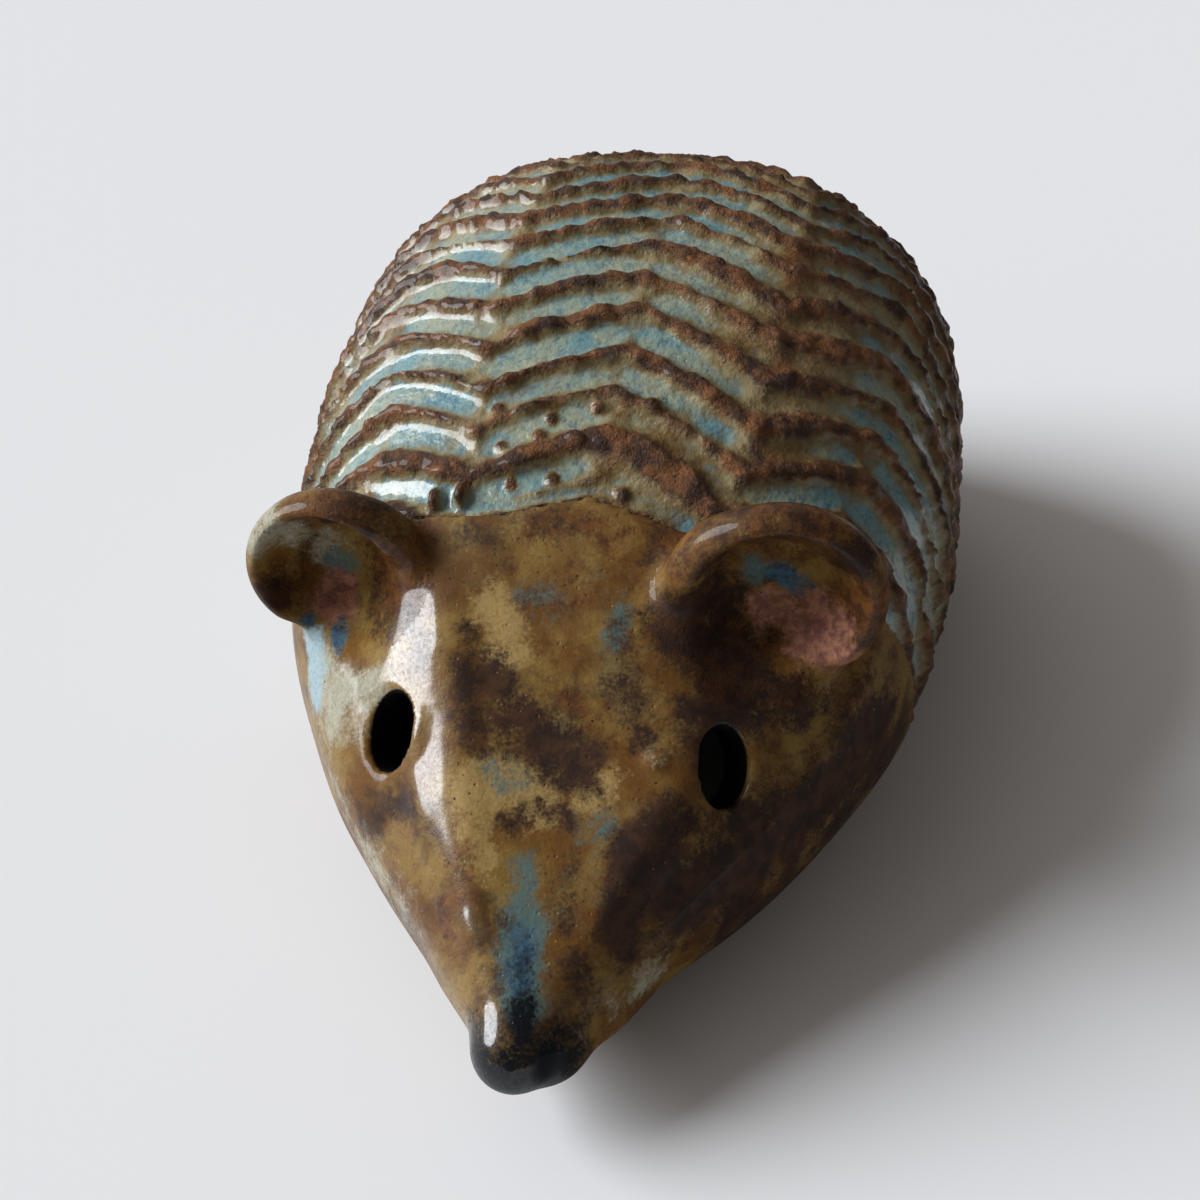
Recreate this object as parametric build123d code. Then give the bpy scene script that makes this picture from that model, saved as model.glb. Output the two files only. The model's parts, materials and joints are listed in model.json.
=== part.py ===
from build123d import *
import math
import os

# A hedgehog figurine in glazed stoneware, in millimetres: +Z up, nose towards -Y, standing on z = 0.
# The body is a pinched hollow dome, open underneath, luted together at the neck.

# Overall body
body_length = 100.0
body_width = 63.0
body_height = 43.0
wall = 5.0
widest_from_rump = 29.0

# Form: height of the widest line, depth of the round underside below it, and how the curves run
waist_height = 14.2
underside_depth = 23.7
flank_squareness = 2.4
rump_squareness = 2.65
shoulder_taper = 2.7
shoulder_fall = 1.1
chin_rise = 1.5

# Snout, measured at the plane of the nose's centre
snout_half_width = 2.8
snout_crown = 11.4
snout_waist = 8.2
snout_underside_depth = 4.1
hollow_tip_half_width = 5.0
nose_radius = 3.6

# Neck: where the carved back and the smooth face are luted, leaning back towards the ground
neck_from_nose = 35.5
neck_lean = 11.0
slip_gap = 0.2

# Eyes, pierced with a round stick; angles are up the section from its widest line
eye_radius = 3.1
eye_from_nose = 21.4
eye_angle = 46.0

# Brow: a soft crease on each side of a flat forehead, above steep cheeks; angles are up the section
brow_angle = 60.0
brow_lift = 0.8
forehead_drop = 0.4
cheek_angle = 35.0
cheek_drop = 0.6

# Ears: thick-rimmed bowls that look forward, each shaped and set by hand
ear_rim_thickness = 3.0
ear_back_depth = 4.8
ear_dish_depth = 2.8
ear_seat_depth = 1.6
ear_turn = 7.0
ear_tilt = 5.0
left_ear_radius = 8.5
left_ear_from_nose = 30.0
left_ear_angle = 55.0
left_ear_lift = 3.2
right_ear_radius = 7.4
right_ear_from_nose = 31.7
right_ear_angle = 36.5
right_ear_lift = 3.5

# Herringbone coat: straight gouges between lines that run along the body, given by their girth from the crest
coat_lines = (0.0, 12.5, 23.5, 39.0, 57.0)
crest_drift = 4.0
row_pitch = 4.4
row_sweep = 4.0
first_row = 1.5
last_row_girth = 26.0
gouge_floor = 1.3
gouge_width = 3.3
gouge_depth = 1.2
gouge_end_depth = 0.35
gouge_land = 0.6
gouge_clearance = 0.3

rump_y = body_length / 2
tip_y = -body_length / 2
nose_y = tip_y + nose_radius
nose_height = (snout_crown + snout_waist - snout_underside_depth) / 2
widest_y = rump_y - widest_from_rump
neck_y = tip_y + neck_from_nose


def front_share(y):
    """0 at the widest station and behind it, 1 at the nose."""
    return min(max((widest_y - y) / (widest_y - nose_y), 0.0), 1.0)


def rump_round(y):
    """1 up to the widest station, closing to 0 at the rump."""
    share = min(max((y - widest_y) / widest_from_rump, 0.0), 1.0)
    return (1 - share**rump_squareness) ** (1 / rump_squareness)


def half_width(y):
    taper = (1 - front_share(y) ** shoulder_taper) ** shoulder_fall
    return (snout_half_width + (body_width / 2 - snout_half_width) * taper) * rump_round(y)


def waist(y):
    """Height of the widest line."""
    return waist_height - (waist_height - snout_waist) * front_share(y) ** 2


def crown_rise(y):
    """Height of the crown above the widest line."""
    fall = math.cos(math.pi / 2 * front_share(y)) ** shoulder_fall
    return (snout_crown + (body_height - snout_crown) * fall - waist(y)) * rump_round(y)


def underside(y):
    """Depth of the round underside below the widest line."""
    share = 1 - front_share(y) ** chin_rise
    return (snout_underside_depth + (underside_depth - snout_underside_depth) * share) * rump_round(y)


def brow(y, angle):
    """How far the thumbed brow stands off the plain curve of the section, from the nose to the neck."""
    share = min(max((y - nose_y) / (neck_y - nose_y), 0.0), 1.0)
    crease = brow_lift * math.exp(-(((angle - brow_angle) / 9) ** 2))
    forehead = forehead_drop * math.exp(-(((angle - 90) / 15) ** 2))
    cheek = cheek_drop * math.exp(-(((angle - cheek_angle) / 11) ** 2))
    return math.sin(math.pi * share) * (crease - forehead - cheek)


def form_point(y, angle, inset=0.0):
    """Point of the form on +X at station y: angle 90 is the crown, 0 the widest line and -90 the keel."""
    bend = 2 / flank_squareness
    rise = math.sin(math.radians(angle))
    across = (half_width(y) - inset) * abs(math.cos(math.radians(angle))) ** bend
    reach = crown_rise(y) - inset if rise > 0 else underside(y) - inset * front_share(y)
    up = math.copysign(abs(rise) ** bend, rise) * reach
    swell = 1 + brow(y, angle) / math.hypot(across, up)
    return Vector(across * swell, y, waist(y) + up * swell)


def form_normal(y, angle):
    """Outward normal of the form at that point."""
    along = form_point(y + 0.1, angle) - form_point(y - 0.1, angle)
    around = form_point(y, angle + 0.1) - form_point(y, angle - 0.1)
    return around.cross(along).normalized()


def section_face(y, inset):
    """Closed section of the form at station y, from two mirrored half curves."""
    points = [form_point(y, 90 - 15 * step, inset) for step in range(13)]
    points[0].X = 0
    points[-1].X = 0
    half = Spline(*points, tangents=(Vector(1, 0, 0), Vector(-1, 0, 0)))
    return make_face([half, mirror(half, about=Plane.YZ)])


def station_of_half_width(target):
    """Front station where the form has the given half width, found by halving."""
    low, high = nose_y, widest_y
    for _ in range(40):
        middle = (low + high) / 2
        if half_width(middle) < target:
            low = middle
        else:
            high = middle
    return high


def body_form(inset=0.0):
    """The whole rounded form, or the same form shrunk by an inset, with its underside below the ground."""
    front = station_of_half_width(inset + hollow_tip_half_width) if inset else nose_y
    sections = []
    for step in range(8):
        sections.append(section_face(front + (widest_y - front) * step / 7, inset))
    for turn in (20, 38, 54, 67, 77, 84):
        share = math.sin(math.radians(turn))
        y = widest_y + widest_from_rump * share
        sections.append(section_face(y, inset * rump_round(y)).moved(Location((0, -inset * share, 0))))
    return loft(sections + [Vertex(0, rump_y - inset, waist_height)])


def neck_block():
    """All that lies behind the neck plane, which leans back towards the ground."""
    crown = Plane((0, neck_y, form_point(neck_y, 90).Z), z_dir=(0, 1, 0)).rotated((neck_lean, 0, 0))
    reach = 4 * body_length
    return crown.location * Box(reach, reach, reach, align=(Align.CENTER, Align.CENTER, Align.MIN))


def cap_arc(radius, depth):
    """Arc of a shallow round bowl, from its lowest point on the axis to its edge."""
    ball = (radius**2 + depth**2) / (2 * depth)
    half_turn = math.asin(radius / ball) / 2
    middle = (ball * math.sin(half_turn), ball - depth - ball * math.cos(half_turn))
    return ThreePointArc((0, -depth), middle, (radius, 0))


def ear_bowl(radius, grow=0.0):
    """Thick-rimmed bowl about +Z with its edge on z = 0, grown on all sides by an allowance."""
    outer = radius + grow
    inner = radius - ear_rim_thickness - grow
    back = cap_arc(outer, ear_back_depth + grow)
    dish = cap_arc(inner, ear_dish_depth - grow)
    rim = ThreePointArc((outer, 0), ((outer + inner) / 2, (outer - inner) / 2), (inner, 0))
    axis = Line(dish @ 0, back @ 0)
    return revolve(Plane.XZ * make_face([back, rim, dish, axis]), Axis.Z)


def ear_place(from_nose, angle, lift, side):
    """Frame of an ear: its dish looks forward, turned outwards and tilted up a little."""
    foot = form_point(tip_y + from_nose, angle)
    turn = math.radians(ear_turn) * side
    tilt = math.radians(ear_tilt)
    look = Vector(math.sin(turn) * math.cos(tilt), -math.cos(turn) * math.cos(tilt), math.sin(tilt))
    across = Vector(math.cos(turn), math.sin(turn), 0)
    return Plane((side * foot.X, foot.Y, foot.Z + lift), x_dir=across, z_dir=look).location


def crest_table():
    """Stations along the back, each with its distance along the crest from the neck."""
    stations = [neck_y + (widest_y - neck_y) * step / 60 for step in range(60)]
    stations += [widest_y + widest_from_rump * math.sin(math.radians(turn)) for turn in range(90)]
    table = [(stations[0], 0.0)]
    for y in stations[1:]:
        before = form_point(table[-1][0], 90)
        table.append((y, table[-1][1] + (form_point(y, 90) - before).length))
    return table


def half_girth(y):
    """Points of the half section from the crown to the ground, each with its distance from the crown."""
    trail = [(form_point(y, 90), 0.0)]
    for step in range(1, 61):
        point = form_point(y, 90 - 3 * step)
        if point.Z < 0:
            break
        trail.append((point, trail[-1][1] + (point - trail[-1][0]).length))
    return trail


def coat_station(table, run):
    """Station at a distance along the crest; before the neck the crest runs on straight."""
    if run <= 0:
        return neck_y + run
    for (y0, run0), (y1, run1) in zip(table, table[1:]):
        if run <= run1:
            return y0 + (y1 - y0) * (run - run0) / (run1 - run0)
    return table[-1][0]


def coat_point(table, run, line, side):
    """Point of the coat on a line of one side; the carved crest drifts to +X towards the rump."""
    y = coat_station(table, run)
    trail = half_girth(y)
    drift = crest_drift * max(run, 0.0) / table[-1][1]
    girth = (drift + side * line) * trail[-1][1] / half_girth(widest_y)[-1][1]
    for (point0, girth0), (point1, girth1) in zip(trail, trail[1:]):
        if abs(girth) <= girth1:
            break
    point = point0 + (point1 - point0) * ((abs(girth) - girth0) / (girth1 - girth0))
    return Vector(math.copysign(point.X, girth), y, point.Z)


def gouge(start, end, middle, normal):
    """Straight channel with sloping sides from start to end, its floor sunk below the chord between them."""
    along = (end - start).normalized()
    normal = (normal - along * normal.dot(along)).normalized()
    chord = (start + end) / 2
    bulge = (middle - chord).dot(normal)
    sink = max(gouge_end_depth, gouge_depth - bulge)
    height = sink + bulge + gouge_clearance
    floor = gouge_floor / 2
    top = floor + (gouge_width - gouge_floor) / 2 * height / gouge_depth
    profile = Polygon((-floor, 0), (floor, 0), (top, height), (-top, height), align=None)
    plane = Plane(chord - normal * sink, x_dir=normal.cross(along), z_dir=along)
    return extrude(plane * profile, (end - start).length / 2 - gouge_land, both=True)


def coat_gouges():
    """The herringbone: rows of gouges that lean forward and back by turns from one coat line to the next."""
    table = crest_table()
    gouges = []
    run = first_row + row_sweep
    while run < table[-1][1] and half_girth(coat_station(table, run))[-1][1] > last_row_girth:
        for column in range(len(coat_lines) - 1):
            inner, outer = coat_lines[column], coat_lines[column + 1]
            inner_run = run - row_sweep * (column % 2)
            outer_run = run - row_sweep * ((column + 1) % 2)
            middle_run, middle = run - row_sweep / 2, (inner + outer) / 2
            for side in (-1, 1):
                start = coat_point(table, inner_run, inner, side)
                end = coat_point(table, outer_run, outer, side)
                along = coat_point(table, middle_run + 1, middle, side) - coat_point(table, middle_run - 1, middle, side)
                normal = (end - start).cross(along) * side
                gouges.append(gouge(start, end, coat_point(table, middle_run, middle, side), normal))
        run += row_pitch
    return gouges


def make_nodes():
    ground_reach = 4 * body_length
    ground = Box(ground_reach, ground_reach, ground_reach, align=(Align.CENTER, Align.CENTER, Align.MAX))
    shell = body_form() - body_form(wall) - ground
    behind = neck_block()
    back_shell = (shell & behind.moved(Location((0, slip_gap / 2, 0)))) - coat_gouges()
    face_shell = shell - behind.moved(Location((0, -slip_gap / 2, 0)))

    nose_place = Location((0, nose_y, nose_height))
    nose_tip = nose_place * Sphere(nose_radius)
    face_shell -= nose_place * Sphere(nose_radius + slip_gap)

    eye_y = tip_y + eye_from_nose
    eye_point = form_point(eye_y, eye_angle)
    stick = Plane(eye_point, z_dir=form_normal(eye_y, eye_angle)).location * Cylinder(eye_radius, 4 * wall)
    face_shell -= [stick, mirror(stick, about=Plane.YZ)]

    nodes = {"nose_tip": nose_tip}
    seat = body_form(ear_seat_depth)
    socket_floor = body_form(ear_seat_depth + slip_gap)
    places = {
        "left_ear": (left_ear_radius, ear_place(left_ear_from_nose, left_ear_angle, left_ear_lift, 1)),
        "right_ear": (right_ear_radius, ear_place(right_ear_from_nose, right_ear_angle, right_ear_lift, -1)),
    }
    for name, (radius, place) in places.items():
        nodes[name] = place * ear_bowl(radius) - seat
        socket = place * ear_bowl(radius, slip_gap) - socket_floor
        face_shell -= socket
        back_shell -= socket
    return {"back_shell": back_shell, "face_shell": face_shell, **nodes}


os.makedirs("parts", exist_ok=True)
for name, node in make_nodes().items():
    export_step(node, f"parts/{name}.step")
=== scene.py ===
import json
import math
import random

import bpy
import numpy as np
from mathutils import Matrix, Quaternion, Vector, noise

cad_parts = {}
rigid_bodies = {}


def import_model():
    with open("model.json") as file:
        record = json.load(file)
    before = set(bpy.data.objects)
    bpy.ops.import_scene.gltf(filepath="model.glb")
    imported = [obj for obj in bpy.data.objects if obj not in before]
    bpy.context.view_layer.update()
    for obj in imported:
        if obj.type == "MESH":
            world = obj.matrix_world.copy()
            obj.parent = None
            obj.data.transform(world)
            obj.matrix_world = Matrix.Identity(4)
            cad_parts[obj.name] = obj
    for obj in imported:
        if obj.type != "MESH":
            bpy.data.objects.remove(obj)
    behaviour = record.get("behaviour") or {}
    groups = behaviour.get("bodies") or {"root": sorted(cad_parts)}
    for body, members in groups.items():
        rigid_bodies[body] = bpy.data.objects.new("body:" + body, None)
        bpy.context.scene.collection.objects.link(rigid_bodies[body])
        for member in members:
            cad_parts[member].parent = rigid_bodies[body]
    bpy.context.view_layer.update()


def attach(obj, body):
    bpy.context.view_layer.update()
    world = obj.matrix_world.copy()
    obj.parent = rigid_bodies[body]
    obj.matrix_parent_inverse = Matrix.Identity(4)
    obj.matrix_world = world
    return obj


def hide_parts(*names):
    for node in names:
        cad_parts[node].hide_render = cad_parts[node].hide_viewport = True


# A hedgehog figurine in glazed stoneware, pinched hollow and carved with a herringbone coat.
# The clay is worked in millimetres, +Z up and the nose towards -Y, and brought to metres when a piece is done.

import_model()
MM = 0.001

# Body form
HALF_WIDTH, CROWN, WALL = 31.5, 43.0, 5.0
SNOUT_HALF_WIDTH, SNOUT_CROWN = 2.8, 11.4
SQUARE, RUMP_SQUARE = 2.4, 2.65
RUMP_Y, WIDEST_Y, NECK_Y, NOSE_Y = 50.0, 21.0, -14.5, -46.4
NECK_HEIGHT, NECK_LEAN, NECK_PEAK, NECK_PEAK_GIRTH = 32.0, 0.194, 1.9, 7
HOLLOW_FRONT = -38.5
NOSE_BALL = (-0.3, -46.4, 7.65)
NOSE_RADIUS = 3.5
MUZZLE_BALL, MUZZLE_SIZES = (1.0, -44.9, 6.9), (4.3, 3.7, 3.7)

# Ears: station and angle of the foot, lift of the rim's middle, radius, side, and where the rim runs out
EARS = {
    "left_ear": dict(foot=(-20.0, math.radians(55.0)), lift=3.2, radius=8.5, side=1, open_at=-105.0),
    "right_ear": dict(foot=(-18.3, math.radians(36.5)), lift=3.5, radius=7.4, side=-1, open_at=-75.0),
}
EAR_RIM, EAR_BACK, EAR_DISH, EAR_DEEPEST, EAR_SKIRT = 4.0, 4.8, 2.8, -3.2, 2.2
DISH_END, RIM_END, RIM_SPAN, BACK_SPAN = 0.4, 0.62, 0.22, 0.38
EAR_TURN, EAR_TILT = math.radians(7.0), math.radians(5.0)

# Eyes, pierced with a round stick
EYE_STATION, EYE_ANGLE, EYE_RADIUS, EYE_NARROW = -28.6, math.radians(46.0), 3.1, 0.74
EYE_SHIFT = np.array([0.55, 0.0, 0.0])
EYE_LEAN = math.radians(22.0)

# Herringbone coat: lines along the body by their girth from the crest, and the rows of strokes
COAT_LINES = (0.0, 12.5, 23.5, 39.0, 57.0)
COAT_GIRTH = 63.0
CREST_DRIFT = 4.0
ROW_PITCH, ROW_SWEEP, FIRST_ROW = 4.4, 4.0, 1.5
PLAIN_TAIL, STEEPER_FRONT = 7, 2.6
GROOVE_HALF, GROOVE_DEPTH = 1.4, 1.3

# Marks on the coat: a rubbed line, and the stubs of two broken ridges behind the animal's right ear
WORN_LINE = np.array([(8.0, -9.0, 34.5), (11.2, -2.2, 37.1), (15.0, 6.0, 38.5), (17.0, 16.0, 39.5)])
STUBS = np.array([(-13.2, -12.7, 31.3), (-11.0, -12.6, 32.0)])

# Marks on the face: a blister, the thumbed crease of the brow with its reach, and spots without gloss
PIMPLE = np.array([7.5, -29.9, 21.5])
BROW_LINE = np.array([
    (-13.2, -21.6, 25.6, 5.5), (-12.2, -24.6, 24.1, 6.2), (-9.9, -28.3, 22.0, 4.8), (-8.4, -31.7, 19.9, 3.8),
    (-7.4, -34.5, 18.0, 3.2), (-6.6, -37.2, 16.2, 2.8), (-5.7, -40.0, 14.2, 2.4),
])
BROW_FACING = np.array([-0.468, -0.517, 0.717])
BROW_TOP = np.array([-11.5, -23.5, 24.5])
DULL_SPOTS = np.array([(-17.8, -23.5, 21.3), (-16.0, -28.5, 17.8), (-14.8, -31.5, 16.6)])

# Only clay above this depth is stroked smooth, and the size of the clay's grain when lumps are joined
SKIN_DEPTH, CLAY_GRAIN = -2.5, 0.34


def smooth(low, high, value):
    """0 below low, 1 above high, eased between."""
    share = np.clip((value - low) / (high - low), 0.0, 1.0)
    return share * share * (3 - 2 * share)


def distance(points, spot, sizes=1.0):
    """How far points are from a place, or how many times an oval of some sizes."""
    return np.linalg.norm((points - spot) / sizes, axis=1)


def mirrored(points):
    """The points, all brought to +X."""
    return np.abs(points * [1, 0, 0]) + points * [0, 1, 1]


# The form that all pieces share

def front_share(y):
    return np.clip((WIDEST_Y - y) / (WIDEST_Y - NOSE_Y), 0.0, 1.0)


def rump_share(y):
    return np.clip((y - WIDEST_Y) / (RUMP_Y - WIDEST_Y), 0.0, 1.0)


def section_sizes(y):
    """Half width, height of the widest line, rise to the crown and depth of the underside at stations y."""
    ahead = front_share(y)
    closing = (1 - rump_share(y) ** RUMP_SQUARE) ** (1 / RUMP_SQUARE)
    half_width = (SNOUT_HALF_WIDTH + (HALF_WIDTH - SNOUT_HALF_WIDTH) * (1 - ahead**2.7) ** 1.1) * closing
    waist = 14.2 - 6.0 * ahead**2
    rise = (SNOUT_CROWN + (CROWN - SNOUT_CROWN) * np.cos(np.pi / 2 * ahead) ** 1.1 - waist) * closing
    under = (4.1 + 19.6 * (1 - ahead**1.5)) * closing
    return half_width, waist, rise, under, closing


def brow(y, angle):
    """How far the thumbed brow stands off the plain curve: two creases, a flat forehead and steep cheeks."""
    share = np.clip((y - NOSE_Y) / (NECK_Y - NOSE_Y), 0.0, 1.0)
    turn = np.degrees(angle)
    crease = 0.8 * np.exp(-(((turn - 60) / 9) ** 2))
    forehead = 0.4 * np.exp(-(((turn - 90) / 15) ** 2))
    cheek = 0.6 * np.exp(-(((turn - 35) / 11) ** 2))
    return np.sin(np.pi * share) * (crease - forehead - cheek)


def form_point(y, angle, inset=0.0):
    """Points on +X: angle pi/2 is the crown, 0 the widest line and -pi/2 the keel."""
    half_width, waist, rise, under, closing = section_sizes(y)
    height, spread = np.sin(angle), np.cos(angle)
    reach = np.where(height > 0, rise - inset * closing, under - inset * front_share(y))
    x = (half_width - inset * closing) * np.abs(spread) ** (2 / SQUARE)
    up = np.sign(height) * np.abs(height) ** (2 / SQUARE) * reach
    swell = 1 + brow(y, angle) / np.maximum(np.hypot(x, up), 1e-6)
    return np.stack([x * swell, y - inset * rump_share(y), waist + up * swell], -1)


def form_spot(station, angle, side=1):
    """One place on the form."""
    return form_point(np.array([station]), np.array([angle]))[0] * [side, 1, 1]


def form_normal(station, angle):
    """Outward normal of the form on +X."""
    y, turn = np.array([station]), np.array([angle])
    along = form_point(y + 0.1, turn) - form_point(y - 0.1, turn)
    around = form_point(y, turn + 0.01) - form_point(y, turn - 0.01)
    normal = np.cross(along[0], around[0])
    return normal / np.linalg.norm(normal)


EYE_SPOT, EYE_NORMAL = form_spot(EYE_STATION, EYE_ANGLE), form_normal(EYE_STATION, EYE_ANGLE)


def girth_table():
    """Angles that share the girth evenly from the crown to the ground, station by station."""
    rear = WIDEST_Y + (RUMP_Y - WIDEST_Y) * np.sin(np.linspace(0, np.pi / 2, 90))
    stations = np.concatenate([np.linspace(NOSE_Y, WIDEST_Y, 150), rear[1:-1], [RUMP_Y - 1e-4]])
    shares = np.linspace(0.0, 1.0, 121)
    angles, girths = [], []
    for y in stations:
        steps = np.linspace(np.pi / 2, -np.pi / 2, 900)
        heights = form_point(np.full(900, y), steps)[:, 2]
        steps = np.linspace(np.pi / 2, np.interp(0.0, heights[::-1], steps[::-1]), 900)
        trail = form_point(np.full(900, y), steps)
        run = np.concatenate([[0.0], np.cumsum(np.linalg.norm(np.diff(trail, axis=0), axis=1))])
        angles.append(np.interp(shares * run[-1], run, steps))
        girths.append(run[-1])
    return stations, np.array(angles), np.array(girths)


STATIONS, ANGLES, GIRTHS = girth_table()
CREST = form_point(STATIONS, np.full(len(STATIONS), np.pi / 2))
CREST_RUN = np.concatenate([[0.0], np.cumsum(np.linalg.norm(np.diff(CREST, axis=0), axis=1))])
CREST_RUN -= np.interp(NECK_Y, STATIONS, CREST_RUN)


def station_at(run):
    """Station at a distance along the crest from the neck."""
    return np.interp(run, CREST_RUN, STATIONS)


def wrap(y, share, inset=0.0):
    """Places at stations y and signed girth shares: 0 is the crown, 1 and -1 the ground or the keel."""
    row = np.interp(y, STATIONS, np.arange(len(STATIONS)))
    column = np.abs(share) * (ANGLES.shape[1] - 1)
    row0 = np.minimum(row.astype(int), len(STATIONS) - 2)
    column0 = np.minimum(column.astype(int), ANGLES.shape[1] - 2)
    part, part_across = row - row0, column - column0
    near = ANGLES[row0, column0] * (1 - part_across) + ANGLES[row0, column0 + 1] * part_across
    far = ANGLES[row0 + 1, column0] * (1 - part_across) + ANGLES[row0 + 1, column0 + 1] * part_across
    points = form_point(y, near * (1 - part) + far * part, inset)
    points[..., 0] *= np.sign(share)
    return points


def neckline(share):
    """Station where the carved coat meets the smooth face, with a point at the crest."""
    y = np.full(share.shape, NECK_Y)
    for _ in range(12):
        girth = np.abs(share) * np.interp(y, STATIONS, GIRTHS)
        peak = NECK_PEAK * np.clip(1 - girth / NECK_PEAK_GIRTH, 0, 1)
        y = NECK_Y + (NECK_HEIGHT - wrap(y, share)[:, 2]) * NECK_LEAN + peak
    return y


def before_neck(points):
    """How far points lie ahead of the leaning plane of the neck, in millimetres."""
    return NECK_Y + (NECK_HEIGHT - points[:, 2]) * NECK_LEAN - points[:, 1]


def above_form(points):
    """About how far points stand off the form, in millimetres."""
    half_width, waist, rise, under, _ = section_sizes(points[:, 1])
    half_height = np.where(points[:, 2] > waist, rise, under)
    across = np.abs(points[:, 0]) / half_width
    up = np.abs(points[:, 2] - waist) / half_height
    reach = (across**SQUARE + up**SQUARE) ** (1 / SQUARE)
    angle = np.arctan2(np.sign(points[:, 2] - waist) * up ** (SQUARE / 2), across ** (SQUARE / 2))
    plain = (reach - 1) * np.hypot(points[:, 0], points[:, 2] - waist) / np.maximum(reach, 1e-6)
    return plain - brow(points[:, 1], angle)


def roughness_at(points, size):
    """Even noise between -1 and 1 with features of a size in millimetres."""
    return np.array([noise.noise(Vector(point / size)) for point in points])


def line_distance(points, line):
    """Distance to a polyline, and the share along it of the nearest place."""
    best = np.full(len(points), 1e9)
    along = np.zeros(len(points))
    for step, (start, end) in enumerate(zip(line[:-1], line[1:])):
        span = end - start
        part = np.clip((points - start) @ span / max(span @ span, 1e-9), 0, 1)
        away = np.linalg.norm(points - start - part[:, None] * span, axis=1)
        closer = away < best
        best[closer] = away[closer]
        along[closer] = (step + part[closer]) / (len(line) - 1)
    return best, along


# Crumbs of clay left near the crest, by girth from it and run behind the neck
CRUMBS = np.array([
    (-8.2, -3.0), (-6.6, -0.8), (-6.0, 1.6), (-9.5, 0.6), (-5.0, 3.2), (-2.6, 1.2), (-1.0, 4.4), (-4.2, -2.4),
    (2.5, -3.4), (4.0, 5.5), (-10.2, 4.2), (-9.4, 6.8),
])
CRUMBS = wrap(station_at(CRUMBS[:, 1] + 6.0), CRUMBS[:, 0] / COAT_GIRTH)


# Work at the bench: meshes, edit mode and modifiers

def read(items, what, kind=float, width=1):
    """One value of each item of a mesh, as an array."""
    found = np.empty(len(items) * width, dtype=kind)
    items.foreach_get(what, found)
    return found.reshape(-1, width) if width > 1 else found


def places(piece):
    return read(piece.data.vertices, "co", width=3)


def set_places(piece, points):
    piece.data.vertices.foreach_set("co", points.ravel())
    piece.data.update()


def normals(piece):
    return read(piece.data.vertices, "normal", width=3)


def layer(piece, name):
    return read(piece.data.attributes[name].data, "value", np.float32).astype(float)


def set_layer(piece, name, values):
    if name not in piece.data.attributes:
        piece.data.attributes.new(name, "FLOAT", "POINT")
    piece.data.attributes[name].data.foreach_set("value", np.asarray(values, dtype=np.float32))


def take(piece):
    """Makes a piece the only selected one."""
    bpy.ops.object.select_all(action="DESELECT")
    piece.select_set(True)
    bpy.context.view_layer.objects.active = piece


def open_edit(piece, select="SELECT"):
    take(piece)
    bpy.ops.object.mode_set(mode="EDIT")
    bpy.ops.mesh.select_mode(type="VERT")
    bpy.ops.mesh.select_all(action=select)


def close_edit():
    bpy.ops.object.mode_set(mode="OBJECT")


def named(name):
    made = bpy.context.object
    made.name = name
    made.data.name = name
    return made


def modify(piece, kind, **settings):
    """Adds a modifier, sets it and applies it."""
    take(piece)
    modifier = piece.modifiers.new(kind.title(), kind)
    for key, value in settings.items():
        setattr(modifier, key, value)
    bpy.ops.object.modifier_apply(modifier=modifier.name)


def sheet(name, columns, rows):
    """A flat grid, with the share of the girth and of the length of each point."""
    bpy.ops.mesh.primitive_grid_add(x_subdivisions=columns, y_subdivisions=rows, size=2)
    piece = named(name)
    flat = places(piece)
    return piece, flat[:, 0], (flat[:, 1] + 1) / 2


def ball(name, segments, rings, place=(0, 0, 0), radius=1, sizes=(1, 1, 1)):
    bpy.ops.mesh.primitive_uv_sphere_add(segments=segments, ring_count=rings, radius=radius, location=place,
                                         scale=sizes)
    return named(name)


def wrap_sheet(piece, station, share, middle):
    """Wraps a sheet round the form; gives its points and the directions out of the clay."""
    points = wrap(station, share)
    set_places(piece, points)
    set_layer(piece, "station", station)
    set_layer(piece, "share", share)
    out = normals(piece)
    return points, out * np.sign((out * (points - middle)).sum(1))[:, None]


def face_outward(piece):
    open_edit(piece)
    bpy.ops.mesh.normals_make_consistent(inside=False)
    close_edit()


def close_seams(piece):
    """Joins the two edges of a wrapped sheet where they meet along the keel and at the tips."""
    open_edit(piece)
    bpy.ops.mesh.remove_doubles(threshold=0.012)
    bpy.ops.mesh.dissolve_degenerate(threshold=0.001)
    close_edit()
    face_outward(piece)


def thicken(piece, inner_ratio):
    """Gives a sheet its wall: its copy goes to the hollow's surface and is thinned there."""
    open_edit(piece)
    bpy.ops.mesh.extrude_region()
    close_edit()
    inner = read(piece.data.vertices, "select", bool)
    points = places(piece)
    station, share = layer(piece, "station"), layer(piece, "share")
    points[inner] = hollow_point(station[inner], share[inner])
    set_places(piece, points)
    set_layer(piece, "bare", inner.astype(float))
    if inner_ratio < 1:
        bpy.ops.object.mode_set(mode="EDIT")
        bpy.ops.mesh.decimate(ratio=inner_ratio)
        close_edit()
    face_outward(piece)


def hollow_point(station, share):
    """Inner side of the wall; ahead of the hollow it closes to a point."""
    y = np.maximum(station, HOLLOW_FRONT)
    points = wrap(y, share, WALL)
    points[:, 2] = np.where((np.abs(share) > 0.999) & (wrap(station, share)[:, 2] < 0.05), 0.0, points[:, 2])
    closing = np.clip((HOLLOW_FRONT - station) / 4.0, 0, 1)[:, None]
    centre = np.array([0.0, HOLLOW_FRONT, 10.0])
    return points * (1 - closing) + centre * closing


# Coat

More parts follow.
